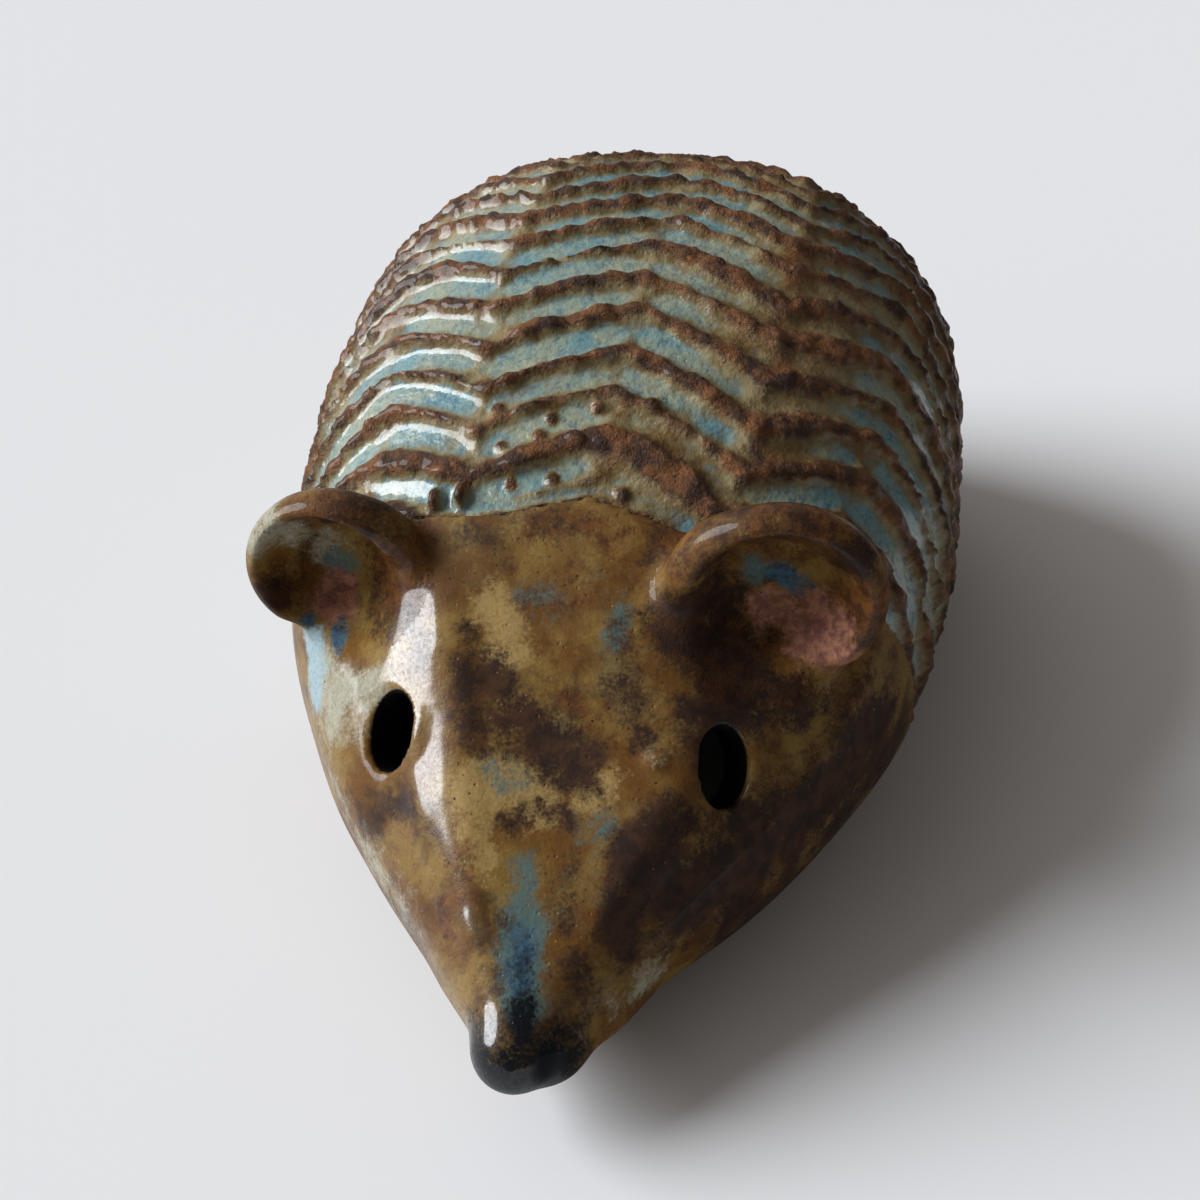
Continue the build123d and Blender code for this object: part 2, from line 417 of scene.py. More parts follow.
def coat_line_point(run, line, side):
    """Place on a coat line of one side at a distance along the crest."""
    y = station_at(run)
    girth = (CREST_DRIFT * np.maximum(run, 0) / CREST_RUN[-1] + side * line) / COAT_GIRTH
    return wrap(y, np.clip(girth, -1, 1))


def coat_strokes(hand):
    """Strokes of the herringbone, each a line on the form with its half width and depth."""
    strokes = []
    run = FIRST_ROW + ROW_SWEEP
    while run < CREST_RUN[-1] - PLAIN_TAIL:
        for side in (-1, 1):
            for column in range(4):
                inner, outer = COAT_LINES[column], COAT_LINES[column + 1]
                start = run - ROW_SWEEP * (column % 2) + hand.gauss(0, 0.25)
                end = run - ROW_SWEEP * ((column + 1) % 2) + hand.gauss(0, 0.3)
                inner += hand.uniform(-0.7, 0.9)
                outer += hand.uniform(-0.9, 0.8)
                bow = hand.gauss(0.25, 0.3)
                share = np.linspace(0, 1, 9)
                runs = start + (end - start) * share + bow * np.sin(np.pi * share)
                girth = inner + (outer - inner) * share
                if side > 0:
                    steeper = STEEPER_FRONT * math.exp(-((run / 22) ** 2))
                    runs -= steeper * np.interp(girth, COAT_LINES[:4], [0, 1, 0.8, 0])
                half, deep = GROOVE_HALF * hand.uniform(0.85, 1.12), GROOVE_DEPTH * hand.uniform(0.75, 1.1)
                strokes.append((coat_line_point(runs, girth, side), half, deep))
        run += ROW_PITCH
    share = np.linspace(-0.27, 0.2, 25)
    runs = np.interp(neckline(share), STATIONS, CREST_RUN) + 1.0
    strokes.append((wrap(station_at(runs), share), 0.55, 0.9))
    return strokes


def carve(points, strokes):
    """Depth of the grooves at each point, and how far the nearest groove's edge is."""
    ragged = 0.26 * roughness_at(points, 2.2) + 0.14 * roughness_at(points, 0.9)
    rubbed, _ = line_distance(points, WORN_LINE)
    worn = 1 + 0.3 * roughness_at(points, 8.0) - 0.5 * smooth(9.0, 3.0, rubbed)
    depth = np.zeros(len(points))
    edge = np.full(len(points), 9.0)
    for line, half, deep in strokes:
        low, high = line.min(0) - 3.5, line.max(0) + 3.5
        near = np.flatnonzero(((points > low) & (points < high)).all(1))
        away, along = line_distance(points[near], line)
        away += ragged[near]
        fade = 0.6 + 0.4 * smooth(0.0, 0.14, np.minimum(along, 1 - along))
        cut = deep * fade * worn[near] * np.clip(1 - (np.maximum(away, 0) / (half + 0.45)) ** 2, 0, 1)
        depth[near] = np.maximum(depth[near], cut)
        edge[near] = np.minimum(edge[near], away - half)
    return depth, edge


def make_coat():
    """The carved back, with the depth of its grooves kept for the glaze."""
    piece, share, length = sheet("carved_coat", 308, 212)
    start = np.interp(neckline(share), STATIONS, CREST_RUN) - 0.5
    run = start + (CREST_RUN[-1] - start) * length
    station = station_at(run)
    points, out = wrap_sheet(piece, station, share, [0, 15, 12])

    depth, edge = carve(points, coat_strokes(random.Random(11)))
    burr = smooth(-0.5, 0.15, edge) * smooth(1.9, 0.7, edge) * smooth(0.8, 2.2, run - start)
    crumbs = np.clip(1.1 * roughness_at(points, 1.5) + 0.5 * roughness_at(points, 0.65), -0.7, 1.0)
    lumps = 0.16 * roughness_at(points, 9.0) + 0.07 * roughness_at(points, 1.3)
    lift = -0.4 + burr * (0.1 + 0.4 * crumbs) + lumps
    dip = 1.2 * smooth(1.0, 0.0, run - start)
    lift = np.minimum(lift, 0.0) - np.maximum(depth, dip)
    for crumb in CRUMBS:
        knob = smooth(0.9, 0.2, distance(points, crumb))
        lift += 0.6 * knob
        depth *= 1 - knob
    lift = np.minimum(lift, 0.0)
    for stub in STUBS:
        knob = smooth(1.0, 0.35, distance(points, stub, [0.8, 1.6, 1.6]))
        lift = np.maximum(lift, 1.1 * knob - 1.2)
        depth *= 1 - knob
    lift *= smooth(0.0, 0.25, 1 - length) * 0.9 + 0.1
    carved = points + out * lift[:, None]
    tail = length > 0.9999
    carved[tail] = carved[tail].mean(axis=0)
    set_places(piece, carved)

    plain = smooth(1.6, 3.2, edge) * (0.45 + 0.5 * roughness_at(points, 3.5))
    set_layer(piece, "groove", depth / GROOVE_DEPTH + plain)
    close_seams(piece)
    thicken(piece, 0.12)
    inner = layer(piece, "bare")
    set_layer(piece, "groove", layer(piece, "groove") * (1 - inner))
    return piece


# Head

def face_modelling(points):
    """Uneven thumbing of the face, the fuller muzzle and the dip that the stick pressed round each eye."""
    away = distance(mirrored(points), EYE_SPOT)
    right = distance(points, [5.0, -42.5, 6.5], [1.0, 1.3, 1.0])
    left = distance(points, [-4.5, -43.0, 8.0], [1.0, 1.3, 1.0])
    muzzle = 0.9 * smooth(6.5, 0.5, right) + 0.4 * smooth(6.0, 0.5, left)
    cheek = 0.35 * smooth(8.0, 2.0, distance(points, [-18.0, -27.0, 16.5], [1.0, 1.8, 0.8]))
    return 0.25 * roughness_at(points, 10.0) - 0.12 * smooth(7.0, 2.5, away) + muzzle + cheek


def ear_frame(ear):
    """Centre of an ear's rim, and its directions across, up and out of the dish."""
    centre = form_spot(*ear["foot"], ear["side"]) + [0, 0, ear["lift"]]
    turn = EAR_TURN * ear["side"]
    level = math.cos(EAR_TILT)
    look = np.array([math.sin(turn) * level, -math.cos(turn) * level, math.sin(EAR_TILT)])
    across = np.array([math.cos(turn), math.sin(turn), 0.0])
    return centre, across, np.cross(look, across), look


def in_ear(points, ear):
    """Points as an ear has them: across and up in radii, and millimetres out of its dish."""
    centre, across, up, look = ear_frame(ear)
    local = points - centre
    return local @ across / ear["radius"], local @ up / ear["radius"], local @ look


def trim_depth(points, deepest):
    """Brings clay that lies too deep in the wall back out along the form's own slope."""
    step = 0.05
    for _ in range(3):
        stand = above_form(points)
        slope = np.array([above_form(points + step * axis) - stand for axis in np.eye(3)]).T / step
        slope /= np.maximum((slope**2).sum(axis=1), 0.25)[:, None]
        points = points + np.maximum(deepest - stand, 0.0)[:, None] * slope
    return points


def make_ear(name, ear):
    """A thick-rimmed bowl whose rim thins out where the dish runs down to the cheek."""
    piece = ball(name, 72, 56)
    round_points = places(piece)
    polar = np.arccos(np.clip(round_points[:, 2], -1, 1)) / np.pi
    around = np.arctan2(round_points[:, 1], round_points[:, 0])
    gap = np.angle(np.exp(1j * (around - math.radians(ear["open_at"]))))
    opening = np.exp(-((gap / 0.95) ** 2))
    outer = ear["radius"] * (1 + 0.03 * np.sin(2 * around + 0.6))
    half = EAR_RIM / 2 * (1 - 0.45 * opening)
    middle, inner = outer - half, outer - 2 * half

    in_dish, on_rim = polar < DISH_END, polar < RIM_END
    dish = np.clip(polar / DISH_END, 0, 1)
    roll = np.pi * (1 - np.clip((polar - DISH_END) / RIM_SPAN, 0, 1))
    back = np.clip((polar - RIM_END) / BACK_SPAN, 0, 1)
    radius = np.where(on_rim, middle + half * np.cos(roll), outer * (1 - back))
    radius = np.where(in_dish, inner * dish, radius)
    height = np.where(on_rim, half * np.sin(roll), -EAR_BACK * np.sqrt(np.clip(1 - (1 - back) ** 2, 0, 1)))
    height = np.where(in_dish, -EAR_DISH * smooth(1.05, 0.25, dish), height)
    sunk = 2.0 * opening + 1.3 * smooth(0.2, 1.0, -ear["side"] * np.cos(around))
    height -= sunk * smooth(0.2, 0.9, radius / outer)
    centre, across, up, look = ear_frame(ear)
    points = centre + (radius * np.cos(around))[:, None] * across + (radius * np.sin(around))[:, None] * up
    set_places(piece, trim_depth(points + height[:, None] * look, EAR_DEEPEST))
    face_outward(piece)
    return piece


def press_dish(points, ear):
    """Thumbs the dish of an ear back into the clay, so that it runs out over the cheek below."""
    a, u, h = in_ear(points, ear)
    reach = np.hypot(a, u)
    floor = -EAR_DISH + (EAR_DISH + 3.0) * smooth(0.4, 1.0, reach)
    pressed = np.clip(h - floor, 0.0, 2.6) * smooth(1.02, 0.72, reach) * (h < 6.0)
    return points - pressed[:, None] * ear_frame(ear)[3]


def pierce(piece, side):
    """Pushes a round stick through the wall, along the surface's normal."""
    normal = Vector(EYE_NORMAL * [side, 1, 1])
    place = EYE_SPOT * [side, 1, 1] - EYE_SHIFT
    turn = (normal.to_track_quat("Z", "Y") @ Quaternion((0, 0, 1), -side * EYE_LEAN)).to_euler()
    bpy.ops.mesh.primitive_cylinder_add(vertices=48, radius=EYE_RADIUS, depth=22, location=place, rotation=turn,
                                        scale=(EYE_NARROW, 1, 1))
    stick = named("eye_stick")
    modify(piece, "BOOLEAN", object=stick, operation="DIFFERENCE", solver="EXACT")
    bpy.data.objects.remove(stick)


def shape_face():
    """The wall of the face, pinched and thumbed, with the two pierced eyes."""
    head, share, length = sheet("smooth_face", 150, 90)
    start = neckline(share)
    station = start + (NOSE_Y - start) * length
    points, out = wrap_sheet(head, station, share, [0, -15, 9])
    points += out * (face_modelling(points) - 0.1)[:, None] * (points[:, 2:] > 0.01)
    points[length > 0.9999] = (0.0, NOSE_Y, 8.0)
    set_places(head, points)
    close_seams(head)
    thicken(head, 1.0)
    for side in (-1, 1):
        pierce(head, side)
    return head


def press_lumps_on(head):
    """Works the ears, the nose and the muzzle into one lump with the face."""
    lumps = [make_ear(name, ear) for name, ear in EARS.items()]
    lumps.append(ball("nose_ball", 48, 32, NOSE_BALL, NOSE_RADIUS))
    lumps.append(ball("muzzle_ball", 48, 32, MUZZLE_BALL, sizes=MUZZLE_SIZES))
    take(head)
    for lump in lumps:
        lump.select_set(True)
    bpy.ops.object.join()
    modify(head, "REMESH", mode="VOXEL", voxel_size=CLAY_GRAIN)


def stroke_roots(head):
    """Thumbs the dishes of the ears and strokes the roots of ears and nose into the face."""
    points = places(head)
    for ear in EARS.values():
        points = press_dish(points, ear)
    set_places(head, points)
    stand = above_form(points)
    root = np.zeros(len(points))
    for ear in EARS.values():
        away = distance(points, ear_frame(ear)[0])
        near = smooth(ear["radius"] + 5, ear["radius"] + 1, away)
        root = np.maximum(root, near * smooth(3.8, 1.0, np.abs(stand)))
    snout = smooth(NOSE_Y - 4.0, NOSE_Y + 0.5, points[:, 1])
    root = np.maximum(root, smooth(9.0, 6.0, distance(points, NOSE_BALL)) * snout)
    root *= np.maximum(smooth(0.3, 2.2, before_neck(points)), smooth(0.3, 1.2, stand))
    soft_modify(head, root * (stand > SKIN_DEPTH), 100)
    soft_modify(head, (stand > SKIN_DEPTH).astype(float), 4)


def press_brow(head):
    """Flattens the crease of the brow past one eye, from the ear to the snout."""
    eye = EYE_SPOT * [-1, 1, 1] - EYE_SHIFT
    points = places(head)
    top = smooth(7.5, 3.5, distance(points, BROW_TOP)) * smooth(3.6, 5.0, distance(points, eye))
    soft_modify(head, top * (above_form(points) > SKIN_DEPTH), 90)
    points = places(head)
    skin = (np.abs(above_form(points) + 0.5) < 2.0) * smooth(2.5, 4.2, distance(points, eye))
    knots = np.arange(len(BROW_LINE))
    line = np.array([np.interp(np.linspace(0, knots[-1], 61), knots, column) for column in BROW_LINE.T]).T
    near = np.array([distance(points, spot) for spot in line[:, :3]])
    crease = line[near.argmin(axis=0)]
    worked = 0.55 * skin * smooth(1.0, 0.25, near.min(axis=0) / crease[:, 3])
    points -= (worked * ((points - crease[:, :3]) @ BROW_FACING + 0.1))[:, None] * BROW_FACING
    set_places(head, points)
    soft_modify(head, smooth(0.0, 0.15, worked), 12)


def make_head():
    """Face, ears and nose as one lump of clay; it is parted into its pieces later."""
    head = shape_face()
    press_lumps_on(head)
    stroke_roots(head)
    press_brow(head)
    points = places(head)
    points += normals(head) * (0.4 * smooth(1.5, 0.1, distance(points, PIMPLE)))[:, None]
    points[:, 2] = np.maximum(points[:, 2], 0.0)
    set_places(head, points)
    return head


def soft_modify(piece, weights, rounds):
    """Strokes the clay smooth where the weights say."""
    stroked = piece.vertex_groups.new(name="stroked")
    for level in np.unique(np.round(weights, 1)):
        if level > 0:
            members = np.flatnonzero(np.round(weights, 1) == level)
            stroked.add(members.tolist(), float(level), "REPLACE")
    modify(piece, "SMOOTH", factor=0.5, iterations=rounds, vertex_group="stroked")
    piece.vertex_groups.clear()


def part_off(head, name, faces_of, root=None):
    """Cuts the faces that a test picks off the head, takes the cut down into the wall and closes it."""
    wanted = faces_of(read(head.data.polygons, "center", width=3))
    open_edit(head, "DESELECT")
    bpy.ops.mesh.select_mode(type="FACE")
    close_edit()
    head.data.polygons.foreach_set("select", wanted)
    bpy.ops.object.mode_set(mode="EDIT")
    before = set(bpy.data.objects)
    bpy.ops.mesh.separate(type="SELECTED")
    close_edit()
    piece = (set(bpy.data.objects) - before).pop()
    piece.name = piece.data.name = name
    for half in (head, piece):
        open_edit(half, "DESELECT")
        bpy.ops.mesh.select_mode(type="EDGE")
        bpy.ops.mesh.select_non_manifold()
        bpy.ops.mesh.mark_sharp()
        if root is not None:
            bpy.ops.mesh.extrude_edges_indiv()
            bpy.ops.transform.translate(value=root)
        bpy.ops.mesh.fill()
        close_edit()
        face_outward(half)
    return piece


def off_ear(ear):
    """Test for the clay of an ear: a ball round its middle, flattened towards the eye."""
    centre, across, up, look = ear_frame(ear)

    def test(at):
        a, u, h = (at - centre) @ across, (at - centre) @ up, (at - centre) @ look
        u = np.where(u < 0, 1.12 * u, u)
        h = np.where(h > 0, 1.15 * h, h)
        deepest = np.where(before_neck(at) > 1.6, -3.5, -1.0)
        return (np.sqrt(a * a + u * u + h * h) < ear["radius"] + 1.0) & (above_form(at) > deepest)

    return test


def ear_root(ear):
    """How an ear goes down into the wall of the head."""
    return tuple(-EAR_SKIRT * form_normal(*ear["foot"]) * [ear["side"], 1, 1])


# Glaze brushed on by hand, with some painted sheen and shade: name of the layer, strength, radius and the line of
# the brush
BRUSHED = [
    ("dark", 0.9, 3.0, [(-6.5, -26, 24.5), (-5.6, -28.7, 22.6), (-1.4, -29.8, 22.4), (1.5, -30.6, 21.6)]),
    ("dark", 0.6, 1.6, [(-8, -23, 25.8), (-6.5, -26, 24.5)]),
    ("dark", 0.55, 1.8, [(-12, -16.5, 29.5), (-6, -15.6, 31.2), (-1, -15, 31.9)]),
    ("dark", 1.0, 3.8, [(6.7, -22.4, 26.8), (11.5, -24.4, 24.2), (13, -23, 22.5), (20, -17, 21)]),
    ("dark", 0.95, 2.6, [(9.3, -33.2, 18.4), (6.7, -35.5, 17.5), (6.6, -40, 13.9)]),
    # Painted shade: these dark runs over the right cheek and flank, the side away from the window, are partly
    # dark glaze and partly painted shade.
    ("dark", 1.0, 5.0, [(23.5, -19.2, 15.9), (18, -26, 14), (14, -32.5, 13.4), (10.9, -35.5, 15.1)]),
    ("dark", 0.9, 4.5, [(25, -15, 12), (20, -25, 8), (14, -33, 7)]),
    ("dark", 0.7, 1.5, [(-2.5, -35, 18.4), (-0.5, -34, 19.2), (1.5, -34.4, 18.8)]),
    ("dark", 0.7, 2.0, [(-11.5, -33.3, 16.9), (-14.5, -32, 13.5)]),
    ("dark", 0.6, 1.8, [(-8.5, -39, 9), (-13, -34.5, 8)]),
    ("sky", 1.0, 2.3, [(-22.4, -17.5, 21.5), (-22.2, -19.5, 19.5), (-21.5, -21.5, 17.5)]),
    # Painted sheen: these pale runs on the left cheek, which faces the window, are partly pale glaze and partly a
    # painted sheen.
    ("pale", 0.75, 3.6, [(-20.5, -22, 18.5), (-18.4, -24.8, 19.2), (-17, -24.5, 21)]),
    ("pale", 0.5, 3.0, [(-19.4, -26.5, 13.7), (-16.5, -30.5, 10.5), (-10.1, -37.8, 10.5)]),
    ("teal", 0.75, 1.5, [(5, -18.2, 29.6), (4.2, -20.5, 28.3), (3.4, -22.4, 27)]),
    ("teal", 0.5, 2.0, [(-3.4, -20.7, 28.2), (-2.4, -20.7, 28.2)]),
    ("teal", 0.6, 1.7, [(-4, -31.8, 20.9), (-2.8, -32.5, 20.4)]),
    ("teal", 0.55, 1.7, [(3.5, -34.8, 18.3), (4.3, -34, 18.9)]),
    ("teal", 0.8, 1.3, [(-1.1, -37.6, 16.9), (-0.9, -39.5, 15.7)]),
    ("teal", 1.0, 1.9, [(-0.7, -41, 14.7), (-0.6, -43, 13.2), (0.1, -45.6, 11.6)]),
    ("pale", 0.5, 2.2, [(8.7, -39.9, 9.6), (6.3, -41.8, 9)]),
    ("pale", 0.45, 1.2, [(7.5, -29.9, 21.5), (6.8, -29.6, 21.9)]),
    ("navy", 1.0, 4.3, [(-1.6, -48.5, 7.2), (1.8, -48, 7.2)]),
    ("blue", 0.8, 1.3, [(-0.6, -41.8, 14.2), (-0.3, -44.5, 12.4)]),
    ("navy", 0.6, 1.2, [(-0.1, -43.4, 13), (0.2, -45, 12)]),
    ("navy", 0.9, 1.5, [(0.2, -45.9, 11.3), (0.3, -47.5, 10)]),
    ("honey", 0.95, 2.6, [(-6.2, -33.5, 19.5), (-3.5, -32.5, 20.6), (-1, -33.2, 19.9)]),
    ("honey", 0.8, 2.2, [(-6.5, -21, 27.5), (-5, -24.2, 25.8)]),
    ("honey", 0.7, 1.8, [(2.5, -33, 19.9), (4, -32, 20.4)]),
    ("honey", 0.7, 2.0, [(-4.5, -37.5, 16.8), (-5.5, -35, 18.3)]),
    ("dark", 0.6, 2.2, [(4.5, -26, 24.8), (6.5, -28.5, 22.8)]),
    ("dark", 0.5, 2.0, [(2.2, -37.3, 16.9), (2.6, -40.5, 14.8)]),
    ("dark", 0.6, 1.8, [(3.5, -42.5, 12.6), (3.6, -45, 10.6)]),
    ("dark", 0.5, 2.6, [(9.5, -27, 22.6), (11.5, -29.5, 20)]),
    ("dark", 0.4, 1.8, [(-2.6, -41.5, 14), (-2.4, -44, 12.2)]),
    ("rust", 0.5, 3.0, [(-1.2, -20, 28.8), (0.8, -20.8, 28.3)]),
    ("rust", 0.85, 1.1, [(0.2, -27.1, 24), (1, -27.4, 23.7)]),
    ("rust", 0.6, 1.8, [(-6, -37, 16.4), (-5.8, -39.5, 14.5)]),
    ("rust", 0.8, 1.0, [(-6.5, -41, 12.7), (-7.1, -39.5, 13.8)]),
    ("rust", 0.6, 2.0, [(-4, -15.2, 31.7), (1.2, -15.4, 31.5), (4.5, -16.6, 30.6)]),
    ("rust", 0.5, 2.2, [(9.5, -17.5, 29.3), (7, -20, 28.4)]),
    ("rust", 0.95, 0.35, [(7.8, -29.7, 21.6), (7.6, -30.4, 21.3)]),
    ("rust", 0.5, 3.0, [(15, -30, 15.5), (19, -25.5, 15)]),
]
# Dabs in the ears, by layer: strength, place across and up in radii from the ear's middle, and size
EAR_DABS = {
    "left_ear": {
        "rust": [(0.75, 0.0, 0.9, 0.8), (0.85, 0.95, 0.0, 0.5), (0.6, -0.9, 0.5, 0.5)],
        "dark": [
            (1.0, -0.65, -0.2, 0.5), (1.0, -0.3, -0.75, 0.5), (0.8, 0.62, 0.6, 0.3), (0.9, 0.2, -1.0, 0.35),
            (0.75, -0.1, 0.55, 0.28), (0.8, -0.5, 0.35, 0.3), (0.6, 0.1, 0.9, 0.35), (0.6, 0.95, -0.2, 0.35),
            (0.6, -0.5, 0.9, 0.35), (0.6, 0.75, 0.7, 0.35), (0.55, -1.0, 0.2, 0.35),
        ],
        "salmon": [(0.75, 0.0, -0.25, 0.25), (0.95, 0.45, -0.38, 0.38)],
        "teal": [(0.85, -0.15, 0.15, 0.2)],
        "blue": [(0.8, 0.08, 0.1, 0.17), (0.75, 0.26, 0.0, 0.14)],
    },
    "right_ear": {
        "rust": [(0.9, 0.7, 0.1, 0.6), (0.75, 0.1, 0.85, 0.6), (0.7, -0.6, -0.2, 0.35)],
        "dark": [
            (0.75, 0.35, 0.75, 0.4), (0.7, 0.8, -0.3, 0.35), (1.0, -0.8, -0.4, 0.32), (0.7, 0.5, -0.35, 0.3),
            (0.5, 0.0, 0.6, 0.2),
        ],
        "pale": [(0.8, -0.75, 0.5, 0.4), (0.6, -0.25, 0.1, 0.35)],
        "teal": [(0.75, -0.1, -0.1, 0.25)],
        "salmon": [(1.0, -0.1, -0.45, 0.3)],
        "sky": [(0.9, -0.3, -0.95, 0.22)],
        "blue": [(0.8, 0.05, -0.75, 0.14), (0.8, -0.35, -0.7, 0.12)],
    },
}
GLAZE_LAYERS = ("honey", "dark", "pale", "sky", "blue", "teal", "navy", "rust", "salmon")


def inside_head(points):
    """1 on the bare inner side of the head's wall."""
    return smooth(-3.2, -4.2, above_form(points)) * smooth(NOSE_Y + 4, NOSE_Y + 8, points[:, 1])


def matt_places(points, out):
    """Where the head has no gloss: below, on the far cheek, off the crease, in dull spots and in the ears."""
    below = section_sizes(points[:, 1])[1] - points[:, 2]
    off_crease = np.min([distance(points, spot) for spot in BROW_LINE[:, :3]], axis=0)
    matt = [
        0.8 * smooth(-1.0, 3.0, below),
        0.9 * smooth(0.4, 0.7, out[:, 0]),
        0.55 * smooth(5.0, 10.0, off_crease) * smooth(-41.0, -36.0, points[:, 1]),
    ]
    matt += [0.65 * smooth(5.0, 2.5, distance(points, spot)) for spot in DULL_SPOTS]
    for ear in EARS.values():
        centre, _, up, _ = ear_frame(ear)
        middle = centre - 0.25 * ear["radius"] * up
        matt.append(smooth(0.92, 0.7, distance(points, middle, ear["radius"])))
    return np.max(matt, axis=0)


def brush_glaze(piece):
    """Lays the glaze layers on a piece of the head."""
    points = places(piece)
    found = {name: np.zeros(len(points)) for name in GLAZE_LAYERS}
    for name, strength, radius, line in BRUSHED:
        away, _ = line_distance(points, np.array(line, dtype=float))
        found[name] = np.maximum(found[name], strength * smooth(1.7 * radius, 0.15 * radius, away))
    for ear, dabs in EAR_DABS.items():
        ear_glaze(points, EARS[ear], dabs, found)
    for name in GLAZE_LAYERS:
        set_layer(piece, name, found[name])
    pierced = eye_depth(points)
    # The walls of the pierced eyes carry painted shade: near black and without gloss.
    set_layer(piece, "eye_shade", pierced)
    set_layer(piece, "matt", matt_places(points, normals(piece)))
    set_layer(piece, "bare", inside_head(points) * (1 - pierced))


def eye_depth(points):
    """1 on the walls of the pierced eyes, away from their rims."""
    turn = Vector(EYE_NORMAL).to_track_quat("Z", "Y") @ Quaternion((0, 0, 1), -EYE_LEAN)
    turn = np.array(turn.to_matrix())
    local = mirrored(points + EYE_SHIFT) - EYE_SPOT
    away = np.hypot(local @ turn[:, 0] / EYE_NARROW, local @ turn[:, 1])
    return smooth(EYE_RADIUS + 0.4, EYE_RADIUS + 0.1, away) * smooth(0.5, 0.9, -(local @ EYE_NORMAL))


def ear_glaze(points, ear, dabs, found):
    """Wipes an ear clear of the face's layers and dabs its own on."""
    a, u, h = in_ear(points, ear)
    near = smooth(1.45, 1.1, np.hypot(a, u)) * smooth(-8.0, -6.0, h) * smooth(5.0, 3.0, h)
    for name in found:
        found[name] *= 1 - near * smooth(-1.0, -0.7, u)
    for name, spots in dabs.items():
        for strength, across_at, up_at, size in spots:
            dab = strength * smooth(1.5 * size, 0.3 * size, np.hypot(a - across_at, u - up_at))
            found[name] = np.maximum(found[name], near * dab)


# Glazes

def fill(tree, node, inputs):
    """Links sockets to a node's inputs, and sets plain values there."""
    for key, value in inputs.items():
        if isinstance(value, bpy.types.NodeSocket):
            tree.links.new(value, node.inputs[key])
        else:
            node.inputs[key].default_value = value


def add(tree, kind, inputs=None, **settings):
    made = tree.nodes.new(kind)
    for key, value in settings.items():
        setattr(made, key, value)
    fill(tree, made, inputs or {})
    return made


def math_node(tree, operation, first, second=0.0):
    return add(tree, "ShaderNodeMath", {0: first, 1: second}, operation=operation).outputs[0]


def times(tree, first, second):
    return math_node(tree, "MULTIPLY", first, second)


def ease(tree, value, low, high):
    inputs = {"Value": value, "From Min": low, "From Max": high}
    return add(tree, "ShaderNodeMapRange", inputs, interpolation_type="SMOOTHSTEP").outputs[0]


def ramp(tree, value, start, end):
    """From start to end while the value goes from 0 to 1."""
    return add(tree, "ShaderNodeMapRange", {"Value": value, "To Min": start, "To Max": end}).outputs[0]


def blend(tree, factor, first, second):
    """Mixes two colours, each a socket or its red, green and blue."""
    first, second = [(*value, 1.0) if isinstance(value, tuple) else value for value in (first, second)]
    return add(tree, "ShaderNodeMix", {0: factor, 6: first, 7: second}, data_type="RGBA").outputs[2]


def group(name, inputs, outputs):
    """An empty shader node group with its sockets, and its input and output nodes."""
    tree = bpy.data.node_groups.new(name, "ShaderNodeTree")
    for socket, value in inputs.items():
        made = tree.interface.new_socket(socket, in_out="INPUT", socket_type="NodeSocketFloat")
        made.default_value = value
    for socket in outputs:
        tree.interface.new_socket(socket, in_out="OUTPUT", socket_type="NodeSocketFloat")
    return tree, tree.nodes.new("NodeGroupInput").outputs, tree.nodes.new("NodeGroupOutput")


def in_millimetres(tree):
    place = add(tree, "ShaderNodeTexCoord").outputs["Object"]
    return add(tree, "ShaderNodeVectorMath", {0: place, 1: (1000, 1000, 1000)}, operation="MULTIPLY").outputs[0]


def cloud_node(tree, seed, scale, detail, roughness, distortion=0.0):
    inputs = {"Vector": in_millimetres(tree), "W": seed, "Scale": scale, "Detail": detail, "Roughness": roughness,
              "Distortion": distortion}
    return add(tree, "ShaderNodeTexNoise", inputs, noise_dimensions="4D").outputs["Fac"]


def mottle_group():
    """Clouds of glaze: a mask of soft ragged patches of a size in millimetres."""
    tree, given, result = group("glaze_mottle", {"Size": 6.0, "Seed": 0.0, "Low": 0.45, "High": 0.6}, ["Mask"])
    scale = math_node(tree, "DIVIDE", 1.0, given["Size"])
    cloud = cloud_node(tree, given["Seed"], scale, 6.0, 0.62, 0.5)
    fill(tree, result, {"Mask": ease(tree, cloud, given["Low"], given["High"])})
    return tree


def speck_group():
    """Iron specks: scattered dots of a spacing and a share of it as radius."""
    sizes = {"Spacing": 0.7, "Radius": 0.3, "Seed": 0.0, "Cover": 0.5}
    tree, given, result = group("iron_specks", sizes, ["Mask"])
    scale = math_node(tree, "DIVIDE", 1.0, given["Spacing"])
    dots = add(tree, "ShaderNodeTexVoronoi", {"Vector": in_millimetres(tree), "W": given["Seed"], "Scale": scale},
               voronoi_dimensions="4D")
    dot = ease(tree, dots.outputs["Distance"], given["Radius"], times(tree, given["Radius"], 0.5))
    chance = add(tree, "ShaderNodeSeparateColor", {0: dots.outputs["Color"]}).outputs[0]
    kept = math_node(tree, "LESS_THAN", chance, given["Cover"])
    fill(tree, result, {"Mask": times(tree, dot, kept)})
    return tree


def brush_group():
    """A brushed layer with edges that the firing made ragged."""
    tree, given, result = group("brushed_edge", {"Layer": 0.0, "Size": 2.0, "Ragged": 0.8, "Seed": 0.0}, ["Mask"])
    scale = math_node(tree, "DIVIDE", 1.0, given["Size"])
    cloud = cloud_node(tree, given["Seed"], scale, 7.0, 0.7)
    dust = cloud_node(tree, given["Seed"], 3.4, 3.0, 0.7)
    wander = times(tree, math_node(tree, "SUBTRACT", cloud, 0.5), given["Ragged"])
    grains = math_node(tree, "SUBTRACT", dust, 0.5)
    wander = math_node(tree, "ADD", wander, grains)
    mask = ease(tree, math_node(tree, "ADD", given["Layer"], wander), 0.25, 0.85)
    thin = ease(tree, given["Layer"], 0.02, 0.2)
    fill(tree, result, {"Mask": times(tree, mask, thin)})
    return tree


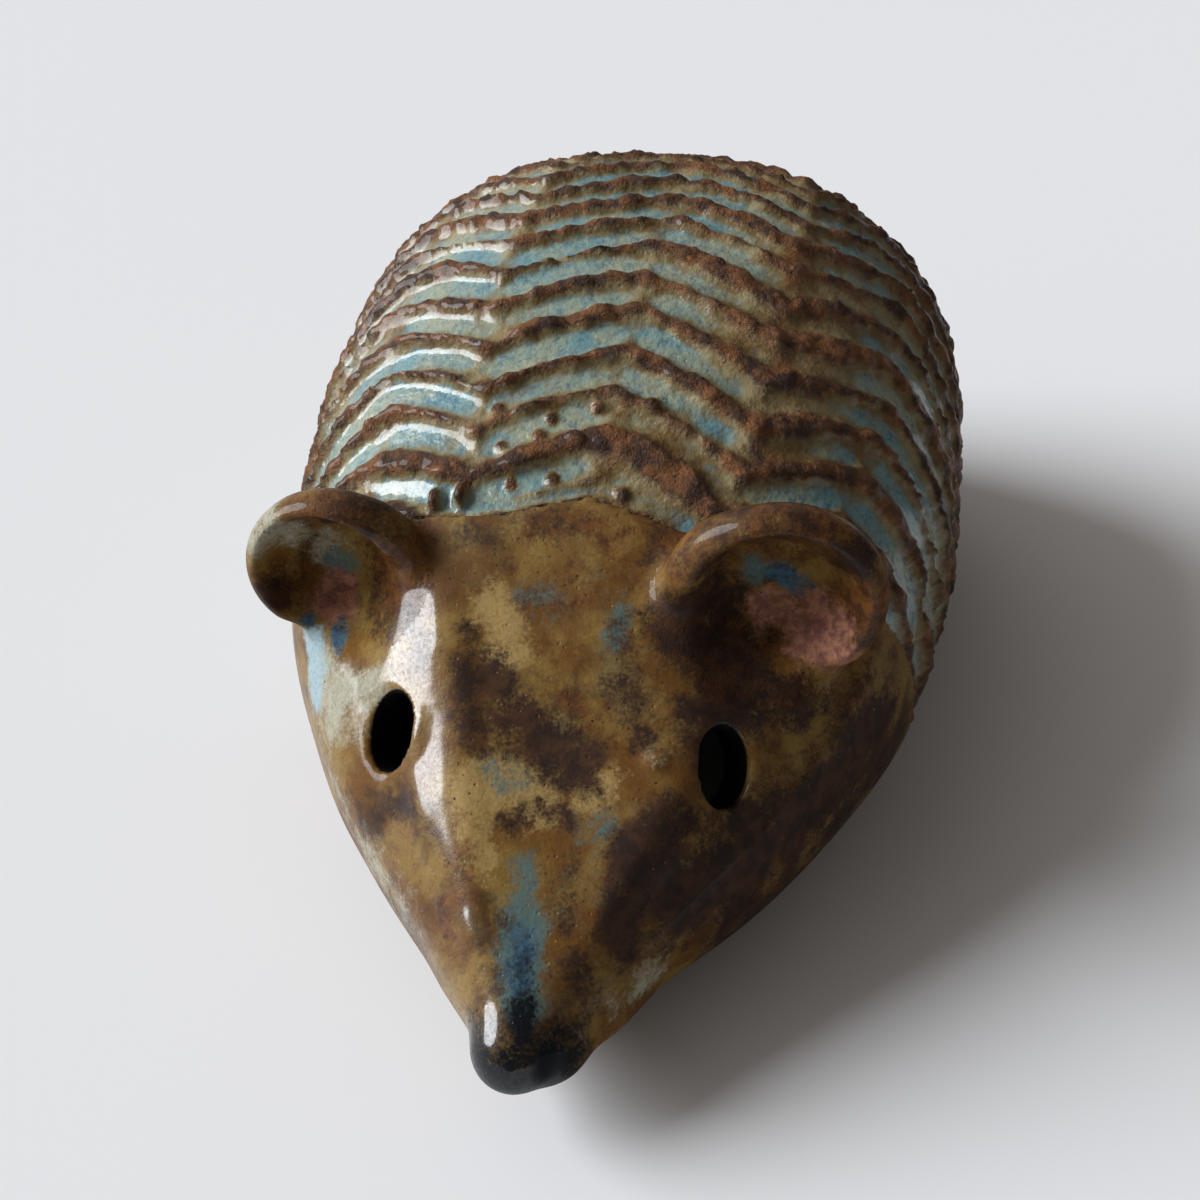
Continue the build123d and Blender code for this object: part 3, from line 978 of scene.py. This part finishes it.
def skin_group():
    """Height of the fired skin: slow waves, ripples, orange peel and pinholes, in millimetres."""
    sizes = {"Wave": 0.06, "Ripple": 0.0, "Peel": 0.012, "Pinholes": 0.05}
    tree, given, result = group("glaze_skin", sizes, ["Height"])
    place = in_millimetres(tree)
    holes = add(tree, "ShaderNodeTexVoronoi", {"Vector": place, "Scale": 0.9}).outputs["Distance"]
    height = times(tree, ease(tree, holes, 0.05, 0.16), given["Pinholes"])
    for scale, share in ((0.35, "Wave"), (1.1, "Ripple"), (3.4, "Peel")):
        bumps = add(tree, "ShaderNodeTexNoise", {"Vector": place, "Scale": scale, "Detail": 3.0}).outputs["Fac"]
        height = math_node(tree, "ADD", height, times(tree, bumps, given[share]))
    fill(tree, result, {"Height": height})
    return tree


MOTTLE, SPECKS, BRUSH, SKIN = mottle_group(), speck_group(), brush_group(), skin_group()


def use(tree, shared, **inputs):
    return add(tree, "ShaderNodeGroup", inputs, node_tree=shared).outputs[0]


def mottle(tree, seed, size, low, high):
    return use(tree, MOTTLE, Size=size, Seed=seed, Low=low, High=high)


def clouded(tree, seed, size, low, high, first, second):
    """Colour of a glaze that is mottled with another."""
    return blend(tree, mottle(tree, seed, size, low, high), first, second)


def painted(tree, name):
    return add(tree, "ShaderNodeAttribute", attribute_name=name).outputs["Fac"]


MATT_ROUGHNESS = 0.85


def finish_glaze(tree, base, rough, gloss, bending, polish, height, bump):
    """Glossy fired glaze over stoneware, bare clay inside and on the foot, painted shade in the eye pits and matt
    places.
    """
    bare = ease(tree, painted(tree, "bare"), 0.1, 0.6)
    eye_shade = ease(tree, painted(tree, "eye_shade"), 0.1, 0.6)
    clay = clouded(tree, 9.0, 0.5, 0.3, 0.7, (0.075, 0.052, 0.038), (0.125, 0.090, 0.065))
    base = blend(tree, bare, base, clay)
    # Painted shade: the walls of the pierced eyes are painted near black.
    base = blend(tree, eye_shade, base, (0.003, 0.003, 0.003))
    dry = math_node(tree, "MAXIMUM", bare, eye_shade)
    matt = math_node(tree, "MAXIMUM", dry, painted(tree, "matt"))
    rough = add(tree, "ShaderNodeMix", {0: matt, 2: rough, 3: MATT_ROUGHNESS}).outputs[0]
    relief = add(tree, "ShaderNodeBump", {"Height": height, "Strength": bump, "Distance": MM}).outputs[0]
    coat = times(tree, gloss, math_node(tree, "SUBTRACT", 1.0, matt))
    fill(tree, tree.nodes["Principled BSDF"], {
        "Base Color": base, "Roughness": rough, "Normal": relief, "Coat Weight": coat,
        "IOR": bending, "Coat Roughness": polish, "Coat IOR": 1.5,
    })


def new_material(name):
    made = bpy.data.materials.new(name)
    made.use_nodes = True
    return made, made.node_tree


def coat_glaze():
    """Blue-grey glaze pooled in the grooves, breaking to rust and dark brown on the ridges."""
    made, tree = new_material("coat_glaze")
    depth = painted(tree, "groove")
    wander = mottle(tree, 1.0, 1.6, 0.2, 0.8)
    level = math_node(tree, "ADD", depth, times(tree, math_node(tree, "SUBTRACT", wander, 0.5), 0.35))

    fleck = mottle(tree, 3.0, 0.55, 0.46, 0.66)
    pool = clouded(tree, 2.0, 7.0, 0.38, 0.62, (0.260, 0.280, 0.195), (0.125, 0.240, 0.255))
    pool = blend(tree, times(tree, fleck, 0.65), pool, (0.032, 0.115, 0.195))
    rust = clouded(tree, 4.0, 2.2, 0.4, 0.62, (0.042, 0.017, 0.008), (0.180, 0.070, 0.021))
    soot = use(tree, SPECKS, Spacing=0.6, Radius=0.34, Seed=5.0, Cover=0.35)
    rust = blend(tree, soot, rust, (0.012, 0.008, 0.007))
    embers = use(tree, SPECKS, Spacing=1.1, Radius=0.3, Seed=8.0, Cover=0.3)
    rust = blend(tree, embers, rust, (0.290, 0.105, 0.032))
    olive = clouded(tree, 6.0, 3.0, 0.4, 0.6, (0.135, 0.082, 0.027), (0.215, 0.168, 0.080))
    base = blend(tree, ease(tree, level, 0.12, 0.45), rust, olive)
    base = blend(tree, ease(tree, level, 0.42, 0.8), base, pool)

    crumb = mottle(tree, 7.0, 0.45, 0.3, 0.8)
    skin = use(tree, SKIN, Wave=0.05, Ripple=0.22, Peel=0.04, Pinholes=0.02)
    dry = ease(tree, level, 0.5, 0.1)
    crumbs = times(tree, crumb, times(tree, dry, 0.2))
    height = math_node(tree, "ADD", skin, crumbs)
    rough = ramp(tree, level, 0.5, 0.17)
    gloss = ramp(tree, level, 0.15, 0.6)
    finish_glaze(tree, base, rough, gloss, bending=1.28, polish=0.07, height=height, bump=1.0)
    return made


def head_glaze(name, grit=1.0, shine=0.9):
    """Ochre and olive glaze, clouded with dark brown and grained with iron specks."""
    made, tree = new_material(name)
    base = clouded(tree, 11.0, 6.0, 0.4, 0.6, (0.125, 0.054, 0.010), (0.215, 0.130, 0.034))
    shade = mottle(tree, 12.0, 3.5, 0.48, 0.68)
    base = blend(tree, times(tree, shade, 0.85), base, (0.048, 0.020, 0.007))
    green = mottle(tree, 13.0, 4.0, 0.52, 0.7)
    base = blend(tree, times(tree, green, 0.4), base, (0.175, 0.155, 0.080))

    # The dark layer also carries the painted shade on the right cheek and flank.
    dark = clouded(tree, 18.0, 1.8, 0.4, 0.65, (0.022, 0.012, 0.009), (0.058, 0.026, 0.013))
    rust = clouded(tree, 19.0, 1.2, 0.35, 0.65, (0.052, 0.020, 0.008), (0.165, 0.062, 0.015))
    salmon = clouded(tree, 30.0, 1.0, 0.38, 0.62, (0.165, 0.070, 0.058), (0.340, 0.155, 0.095))
    blue = clouded(tree, 31.0, 0.8, 0.36, 0.64, (0.018, 0.042, 0.072), (0.050, 0.115, 0.165))
    layers = {
        "honey": ((0.330, 0.220, 0.080), 2.2, 2.0),
        # the pale layer also carries the painted sheen on the left cheek
        "pale": ((0.330, 0.315, 0.235), 2.6, 2.0),
        "sky": ((0.270, 0.370, 0.400), 1.6, 2.2),
        "teal": ((0.085, 0.135, 0.125), 1.8, 1.8),
        "rust": (rust, 1.6, 2.0),
        "dark": (dark, 3.0, 2.4),
        "salmon": (salmon, 1.4, 2.2),
        "blue": (blue, 1.2, 2.0),
    }
    for seed, (layer_name, (tint, size, ragged)) in enumerate(layers.items()):
        mask = use(tree, BRUSH, Layer=painted(tree, layer_name), Size=size, Ragged=ragged, Seed=20.0 + seed)
        base = blend(tree, mask, base, tint)

    grain = mottle(tree, 14.0, 0.3, 0.35, 0.75)
    base = blend(tree, times(tree, grain, 0.35), base, (0.036, 0.018, 0.008))
    specks = use(tree, SPECKS, Spacing=0.38, Radius=0.36, Seed=15.0, Cover=0.4)
    cover = mottle(tree, 16.0, 4.0, 0.44, 0.66)
    base = blend(tree, times(tree, specks, cover), base, (0.008, 0.006, 0.006))
    navy = use(tree, BRUSH, Layer=painted(tree, "navy"), Size=1.3, Ragged=1.0, Seed=28.0)
    base = blend(tree, navy, base, (0.002, 0.004, 0.007))
    sparks = use(tree, SPECKS, Spacing=0.9, Radius=0.15, Seed=17.0, Cover=0.15)
    base = blend(tree, sparks, base, (0.300, 0.120, 0.035))
    height = use(tree, SKIN, Wave=0.08, Ripple=0.04 * grit, Peel=0.042 * grit, Pinholes=0.05)
    rough = ramp(tree, grain, 0.18, 0.4)
    gloss = ramp(tree, grain, shine, shine / 2)
    finish_glaze(tree, base, rough, gloss, bending=1.18, polish=0.1, height=height, bump=0.8)
    return made


# Assembly

def hand_over(piece, material, node):
    """Brings a finished piece to metres, dresses it, hangs it on the root body and hides the part that it stands
    for.
    """
    take(piece)
    piece.scale = (MM, MM, MM)
    bpy.ops.object.transform_apply(location=False, rotation=False, scale=True)
    bpy.ops.object.shade_smooth_by_angle(angle=math.radians(65))
    piece.data.materials.clear()
    piece.data.materials.append(material)
    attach(piece, "root")
    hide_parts(node)


coat = make_coat()
head = make_head()
pieces = {name: part_off(head, name + "_bowl", off_ear(ear), ear_root(ear)) for name, ear in EARS.items()}
nose = part_off(head, "nose_knob", lambda at: at[:, 1] < NOSE_Y + 0.6)
for piece in (head, nose, *pieces.values()):
    brush_glaze(piece)

hand_over(coat, coat_glaze(), "back_shell")
hand_over(head, head_glaze("face_glaze"), "face_shell")
ear_material = head_glaze("ear_glaze", 2.4, 0.5)
for name, piece in pieces.items():
    hand_over(piece, ear_material, name)
hand_over(nose, head_glaze("nose_glaze"), "nose_tip")

# Studio: a pale floor, and a broad window on the left

bpy.ops.mesh.primitive_plane_add(size=4.0)
floor = named("studio_floor")
floor_paint, tree = new_material("floor_paint")
fill(tree, tree.nodes["Principled BSDF"], {
    "Base Color": (0.76, 0.76, 0.77, 1.0), "Roughness": 0.9, "Specular IOR Level": 0.1,
})
floor.data.materials.append(floor_paint)

window_light = bpy.data.lights.new("window", "SUN")
window_light.energy, window_light.angle, window_light.color = 4.9, math.radians(36), (0.915, 0.955, 1.0)
window = bpy.data.objects.new("window", window_light)
bpy.context.collection.objects.link(window)
window.rotation_euler = Vector((1.03, 0.05, -0.59)).to_track_quat("-Z", "Y").to_euler()

# The room: light walls on the window's side, dim on the other
world = bpy.data.worlds.new("studio")
bpy.context.scene.world = world
world.use_nodes = True
tree = world.node_tree
direction = add(tree, "ShaderNodeTexCoord").outputs["Generated"]
window_side = {0: direction, 1: (-0.96, 0.24, 0.14)}
facing = add(tree, "ShaderNodeVectorMath", window_side, operation="DOT_PRODUCT").outputs["Value"]
walls = {"Value": facing, "From Min": 0.2, "From Max": 1.0, "To Min": 0.14, "To Max": 0.9}
glow = add(tree, "ShaderNodeMapRange", walls).outputs[0]
camera_ray = add(tree, "ShaderNodeLightPath").outputs["Is Camera Ray"]
strength = add(tree, "ShaderNodeMix", {0: camera_ray, 2: glow, 3: 0.85}).outputs[0]
paint = blend(tree, camera_ray, (1.0, 0.93, 0.87), (0.912, 0.920, 0.935))
fill(tree, tree.nodes["Background"], {"Strength": strength, "Color": paint})

# Camera at the photograph's viewing angle
camera_data = bpy.data.cameras.new("photo_camera")
camera_data.sensor_fit = "HORIZONTAL"
half_frame, focal_length = 600, 1602.52
camera_data.angle = 2 * math.atan(half_frame / focal_length)
camera = bpy.data.objects.new("photo_camera", camera_data)
bpy.context.collection.objects.link(camera)
aim = Vector((-1.460, 0.0, 12.124)) * MM
azimuth, elevation, reach = math.radians(8.992), math.radians(38.375), 148.776
level = math.cos(elevation)
away = Vector((math.sin(azimuth) * level, -math.cos(azimuth) * level, math.sin(elevation)))
camera.location = aim + away * reach * MM
camera.rotation_euler = (-away).to_track_quat("-Z", "Y").to_euler()
camera_data.clip_start = 0.005
bpy.context.scene.camera = camera

bpy.context.scene.view_settings.view_transform = "Standard"
